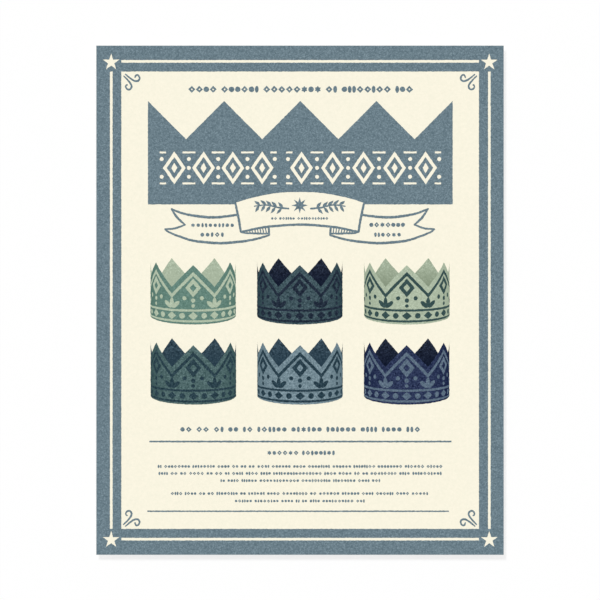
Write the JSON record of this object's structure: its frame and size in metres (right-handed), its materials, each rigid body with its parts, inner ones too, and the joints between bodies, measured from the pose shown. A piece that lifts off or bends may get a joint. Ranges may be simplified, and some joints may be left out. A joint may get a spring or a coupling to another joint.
{
  "type": "flat paper crown kit",
  "caption": "Flat craft pack: a printed cover card lying on letter-folded paper sheets, each printed with paper crowns to cut out and wear.",
  "frame": {"origin": "middle of the pack's underside, on the surface that it lies on", "axes": "+X to the right of the card's print, +Y to the top of it, +Z out of the printed face"},
  "size_m": [0.2032, 0.254, 0.0034],
  "materials": {
    "card_stock": "uncoated card, cream",
    "sheet_stock": "uncoated heavy paper, printed on its outer side"
  },
  "bodies": {
    "root": {"cover_card": "card_stock", "crown_sheet_1": "sheet_stock", "crown_sheet_2": "sheet_stock", "crown_sheet_3": "sheet_stock"}
  },
  "joints": []
}
